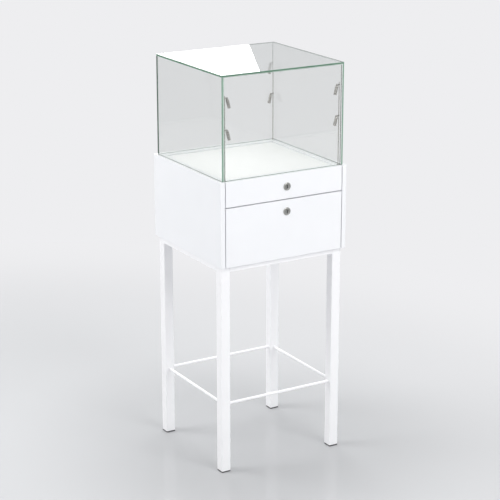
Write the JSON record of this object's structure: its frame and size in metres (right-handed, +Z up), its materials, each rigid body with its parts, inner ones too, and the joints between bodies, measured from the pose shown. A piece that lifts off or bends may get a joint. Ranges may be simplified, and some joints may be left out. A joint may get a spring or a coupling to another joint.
{
  "type": "pedestal display case",
  "caption": "Floor-standing glass display case on a steel leg frame, with a lockable deck that pulls out with the front pane, a lockable drawer below it, and corner spotlights.",
  "frame": {"origin": "on the floor under the middle of the case", "axes": "+Z up, the front with the locks faces -Y, +X to the right as seen from the front"},
  "size_m": [0.5, 0.486, 1.4125],
  "materials": {
    "white_lacquer": "white satin lacquer over board",
    "powder_coat": "white powder coat, satin",
    "white_board": "white laminated board",
    "glide_plastic": "black moulded plastic",
    "slide_steel": "bright zinc plate",
    "slide_white": "white epoxy coat",
    "lock_nickel": "satin nickel plate",
    "cam_steel": "bright zinc plate",
    "lamp_metal": "satin anodised",
    "driver_plastic": "grey moulded plastic",
    "clear_glass": "clear float glass with polished edges"
  },
  "bodies": {
    "case": {"leg_front_left": "powder_coat", "leg_front_right": "powder_coat", "leg_back_left": "powder_coat", "leg_back_right": "powder_coat", "glide_front_left": "glide_plastic", "glide_front_right": "glide_plastic", "glide_back_left": "glide_plastic", "glide_back_right": "glide_plastic", "top_rail_front": "powder_coat", "top_rail_back": "powder_coat", "top_rail_left": "powder_coat", "top_rail_right": "powder_coat", "stretcher_front": "powder_coat", "stretcher_back": "powder_coat", "stretcher_left": "powder_coat", "stretcher_right": "powder_coat", "cabinet_side_left": "white_lacquer", "cabinet_side_right": "white_lacquer", "cabinet_back": "white_lacquer", "cabinet_bottom": "white_lacquer", "divider_rail": "white_lacquer", "glass_left": "clear_glass", "glass_right": "clear_glass", "glass_back": "clear_glass", "glass_top": "clear_glass", "deck_slide_cabinet_member_left": "slide_steel", "deck_slide_cabinet_member_right": "slide_steel", "drawer_slide_cabinet_member_left": "slide_white", "drawer_slide_cabinet_member_right": "slide_white", "lamp_driver": "driver_plastic"},
    "deck_slide_middles": {"deck_slide_middle_member_left": "slide_steel", "deck_slide_middle_member_right": "slide_steel"},
    "deck": {"deck_front": "white_lacquer", "deck_tray": "white_lacquer", "deck_inlay": "white_board", "glass_front": "clear_glass", "deck_slide_deck_member_left": "slide_steel", "deck_slide_deck_member_right": "slide_steel", "deck_lock_body": "lock_nickel"},
    "deck_lock": {"deck_lock_plug": "lock_nickel", "deck_lock_cam": "cam_steel"},
    "drawer": {"drawer_front": "white_lacquer", "drawer_side_left": "white_board", "drawer_side_right": "white_board", "drawer_bottom": "white_board", "drawer_back": "white_board", "drawer_slide_drawer_member_left": "slide_white", "drawer_slide_drawer_member_right": "slide_white", "drawer_lock_body": "lock_nickel"},
    "drawer_lock": {"drawer_lock_plug": "lock_nickel", "drawer_lock_cam": "cam_steel"},
    "pole_front_left": {"lamp_pole_front_left": "lamp_metal"},
    "spot_front_left_low": {"spot_front_left_low": "lamp_metal"},
    "spot_front_left_high": {"spot_front_left_high": "lamp_metal"},
    "pole_front_right": {"lamp_pole_front_right": "lamp_metal"},
    "spot_front_right_low": {"spot_front_right_low": "lamp_metal"},
    "spot_front_right_high": {"spot_front_right_high": "lamp_metal"},
    "pole_back_right": {"lamp_pole_back_right": "lamp_metal"},
    "spot_back_right_low": {"spot_back_right_low": "lamp_metal"},
    "spot_back_right_high": {"spot_back_right_high": "lamp_metal"}
  },
  "joints": [
    {"name": "deck_slide", "type": "slide", "parent": "case", "child": "deck", "axis": [0, -1, 0], "range_m": [0, 0.35]},
    {"name": "deck_middle_slide", "type": "slide", "parent": "case", "child": "deck_slide_middles", "axis": [0, -1, 0], "range_m": [0, 0.175]},
    {"name": "drawer_slide", "type": "slide", "parent": "case", "child": "drawer", "axis": [0, -1, 0], "range_m": [0, 0.3]},
    {"name": "deck_lock_turn", "type": "hinge", "parent": "deck", "child": "deck_lock", "pos_m": [0.008, -0.24, 1.009], "axis": [0, 1, 0], "range_deg": [0, 90]},
    {"name": "drawer_lock_turn", "type": "hinge", "parent": "drawer", "child": "drawer_lock", "pos_m": [0.008, -0.24, 0.9215], "axis": [0, -1, 0], "range_deg": [0, 90]},
    {"name": "pole_swivel_front_left", "type": "hinge", "parent": "deck", "child": "pole_front_left", "pos_m": [-0.223, -0.2175, 1.054], "axis": [0, 0, 1], "range_deg": [0, 90]},
    {"name": "spot_tilt_front_left_low", "type": "hinge", "parent": "pole_front_left", "child": "spot_front_left_low", "pos_m": [-0.2145, -0.2175, 1.226], "axis": [0, -1, 0], "range_deg": [-14, 60]},
    {"name": "spot_tilt_front_left_high", "type": "hinge", "parent": "pole_front_left", "child": "spot_front_left_high", "pos_m": [-0.2145, -0.2175, 1.334], "axis": [0, -1, 0], "range_deg": [-14, 60]},
    {"name": "pole_swivel_front_right", "type": "hinge", "parent": "deck", "child": "pole_front_right", "pos_m": [0.2275, -0.2175, 1.054], "axis": [0, 0, -1], "range_deg": [0, 90]},
    {"name": "spot_tilt_front_right_low", "type": "hinge", "parent": "pole_front_right", "child": "spot_front_right_low", "pos_m": [0.219, -0.2175, 1.226], "axis": [0, 1, 0], "range_deg": [-14, 60]},
    {"name": "spot_tilt_front_right_high", "type": "hinge", "parent": "pole_front_right", "child": "spot_front_right_high", "pos_m": [0.219, -0.2175, 1.334], "axis": [0, 1, 0], "range_deg": [-14, 60]},
    {"name": "pole_swivel_back_right", "type": "hinge", "parent": "deck", "child": "pole_back_right", "pos_m": [0.2275, 0.216, 1.054], "axis": [0, 0, 1], "range_deg": [0, 90]},
    {"name": "spot_tilt_back_right_low", "type": "hinge", "parent": "pole_back_right", "child": "spot_back_right_low", "pos_m": [0.219, 0.216, 1.226], "axis": [0, 1, 0], "range_deg": [-14, 60]},
    {"name": "spot_tilt_back_right_high", "type": "hinge", "parent": "pole_back_right", "child": "spot_back_right_high", "pos_m": [0.219, 0.216, 1.334], "axis": [0, 1, 0], "range_deg": [-14, 60]}
  ],
  "couplings": [
    {"joint": "deck_middle_slide", "follows": "deck_slide", "ratio": 0.5}
  ]
}
